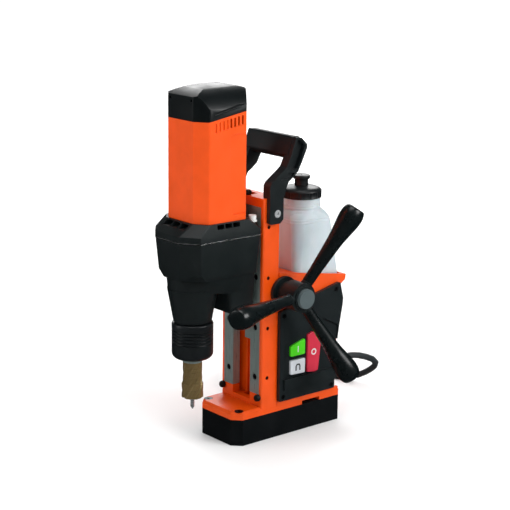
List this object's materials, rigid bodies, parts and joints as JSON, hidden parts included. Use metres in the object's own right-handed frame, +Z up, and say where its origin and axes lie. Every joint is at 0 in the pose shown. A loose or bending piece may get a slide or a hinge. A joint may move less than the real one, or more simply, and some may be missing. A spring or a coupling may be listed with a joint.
{
  "type": "magnetic drill press",
  "caption": "Portable drill press with a magnetic foot: motor and gearbox on a rack-fed slide, three-lever hub, quick-change annular cutter, control panel and coolant bottle.",
  "frame": {"origin": "centre of the magnet's flat underside", "axes": "-X towards the spindle, +X towards the cord, -Y towards the control panel and feed levers, +Z up the column"},
  "size_m": [0.3748, 0.3026, 0.455],
  "materials": {
    "magnet_black": "black paint, satin",
    "copper_potting": "copper winding in resin",
    "orange_casting": "orange powder coat on cast aluminium",
    "dark_screws": "black oxide",
    "bright_screws": "zinc plated",
    "ground_steel": "ground steel",
    "black_rubber": "moulded rubber",
    "orange_shell": "orange moulded plastic",
    "black_panel": "fine texture",
    "green_button": "green",
    "red_button": "red",
    "grey_button": "light grey",
    "dark_plastic": "glass-filled plastic",
    "board_green": "solder mask",
    "black_handle": "fine texture",
    "cord_black": "rubber sheath",
    "plug_black": "moulded",
    "black_casting": "black coated casting",
    "bronze": "plain bronze",
    "cap_grey": "light grey face",
    "grip_black": "satin black",
    "black_gearbox": "black powder coat on cast aluminium",
    "seam_aluminium": "bare edge",
    "orange_plastic": "orange moulded plastic, satin",
    "black_cap": "fine texture",
    "lamination_steel": "lacquered laminations and windings",
    "carbon": "pressed carbon",
    "light_plastic": "light grey",
    "gear_steel": "hardened steel",
    "black_sleeve": "black oxide",
    "spring_steel": "spring wire",
    "cutter_bronze": "bronze coloured coating",
    "clear_bottle": "translucent white plastic",
    "bottle_black": "moulded"
  },
  "bodies": {
    "stand": {"magnet_body": "magnet_black", "magnet_coil": "copper_potting", "base_casting": "orange_casting", "plate_screws": "dark_screws", "guide_rails": "ground_steel", "rail_screws": "dark_screws", "gib_screws": "dark_screws", "lower_stops": "black_rubber", "top_stop": "black_rubber", "rear_housing": "orange_shell", "control_panel": "black_panel", "panel_screws": "dark_screws", "switch_block": "dark_plastic", "circuit_board": "board_green", "carry_handle": "black_handle", "handle_bolts": "bright_screws", "cable_gland": "black_rubber", "cord_run": "cord_black", "cord_coil": "cord_black", "cord_tail": "cord_black", "mains_plug": "plug_black", "side_flange": "black_casting", "shaft_bushes": "bronze"},
    "start_key": {"start_button": "green_button"},
    "stop_key": {"stop_button": "red_button"},
    "magnet_key": {"magnet_button": "grey_button"},
    "feed": {"pinion_shaft": "ground_steel", "feed_hub": "black_casting", "hub_cap": "cap_grey", "lever_rods": "ground_steel", "lever_grip_1": "grip_black", "lever_grip_2": "grip_black", "lever_grip_3": "grip_black"},
    "carriage": {"gear_housing": "black_gearbox", "gear_plate": "seam_aluminium", "motor_flange": "black_gearbox", "carriage_slide": "ground_steel", "feed_rack": "ground_steel", "motor_housing": "orange_plastic", "motor_cap": "black_cap", "stator": "lamination_steel", "end_shield": "dark_plastic", "carbon_brushes": "carbon", "ball_bearings": "ground_steel", "coolant_fitting": "light_plastic"},
    "rotor": {"armature": "lamination_steel", "cooling_fan": "dark_plastic"},
    "first_shaft": {"first_gear": "gear_steel"},
    "second_shaft": {"second_gear": "gear_steel"},
    "work_spindle": {"spindle": "ground_steel", "locking_balls": "gear_steel", "spindle_gear": "gear_steel", "pin_spring": "spring_steel"},
    "sleeve": {"locking_sleeve": "black_sleeve", "sleeve_spring": "spring_steel"},
    "cutter": {"annular_cutter": "cutter_bronze"},
    "pilot": {"pilot_pin": "gear_steel"},
    "bottle": {"coolant_bottle": "clear_bottle"},
    "cap": {"bottle_cap": "bottle_black"},
    "valve": {"pull_valve": "bottle_black"}
  },
  "joints": [
    {"name": "carriage_feed", "type": "slide", "parent": "stand", "child": "carriage", "axis": [0, 0, 1], "range_m": [-0.11, 0.025]},
    {"name": "feed_turn", "type": "hinge", "parent": "stand", "child": "feed", "pos_m": [-0.014, 0, 0.191], "axis": [0, 1, 0], "range_deg": [-400, 95]},
    {"name": "rotor_spin", "type": "hinge", "parent": "carriage", "child": "rotor", "pos_m": [-0.104, 0, 0.35], "axis": [0, 0, 1], "continuous": true},
    {"name": "first_spin", "type": "hinge", "parent": "carriage", "child": "first_shaft", "pos_m": [-0.08482, 0.00566, 0.25], "axis": [0, 0, 1], "continuous": true},
    {"name": "second_spin", "type": "hinge", "parent": "carriage", "child": "second_shaft", "pos_m": [-0.10272, 0.01928, 0.25], "axis": [0, 0, 1], "continuous": true},
    {"name": "spindle_spin", "type": "hinge", "parent": "carriage", "child": "work_spindle", "pos_m": [-0.1257, 0, 0.18], "axis": [0, 0, 1], "continuous": true},
    {"name": "sleeve_pull", "type": "slide", "parent": "work_spindle", "child": "sleeve", "axis": [0, 0, 1], "range_m": [-0.006, 0], "stiffness_N_per_m": 900, "springref_m": 0.009, "deforming": ["sleeve_spring"]},
    {"name": "cutter_release", "type": "slide", "parent": "work_spindle", "child": "cutter", "axis": [0, 0, 1], "range_m": [-0.045, 0]},
    {"name": "pilot_retract", "type": "slide", "parent": "work_spindle", "child": "pilot", "axis": [0, 0, 1], "range_m": [0, 0.016], "stiffness_N_per_m": 150, "springref_m": -0.01, "deforming": ["pin_spring"]},
    {"name": "start_press", "type": "slide", "parent": "stand", "child": "start_key", "axis": [0, 1, 0], "range_m": [0, 0.0025], "stiffness_N_per_m": 600, "springref_m": -0.001},
    {"name": "stop_press", "type": "slide", "parent": "stand", "child": "stop_key", "axis": [0, 1, 0], "range_m": [0, 0.0025], "stiffness_N_per_m": 600, "springref_m": -0.001},
    {"name": "magnet_press", "type": "slide", "parent": "stand", "child": "magnet_key", "axis": [0, 1, 0], "range_m": [0, 0.0025], "stiffness_N_per_m": 600, "springref_m": -0.001},
    {"name": "bottle_lift", "type": "slide", "parent": "stand", "child": "bottle", "axis": [0, 0, 1], "range_m": [0, 0.06]},
    {"name": "cap_lift", "type": "slide", "parent": "bottle", "child": "cap", "axis": [0, 0, 1], "range_m": [0, 0.03]},
    {"name": "valve_pull", "type": "slide", "parent": "cap", "child": "valve", "axis": [0, 0, 1], "range_m": [0, 0.004]}
  ],
  "couplings": [
    {"joint": "feed_turn", "follows": "carriage_feed", "rad_per_m": 62.5},
    {"joint": "first_spin", "follows": "rotor_spin", "ratio": -0.25},
    {"joint": "second_spin", "follows": "rotor_spin", "ratio": 0.096154},
    {"joint": "spindle_spin", "follows": "rotor_spin", "ratio": -0.032051}
  ]
}
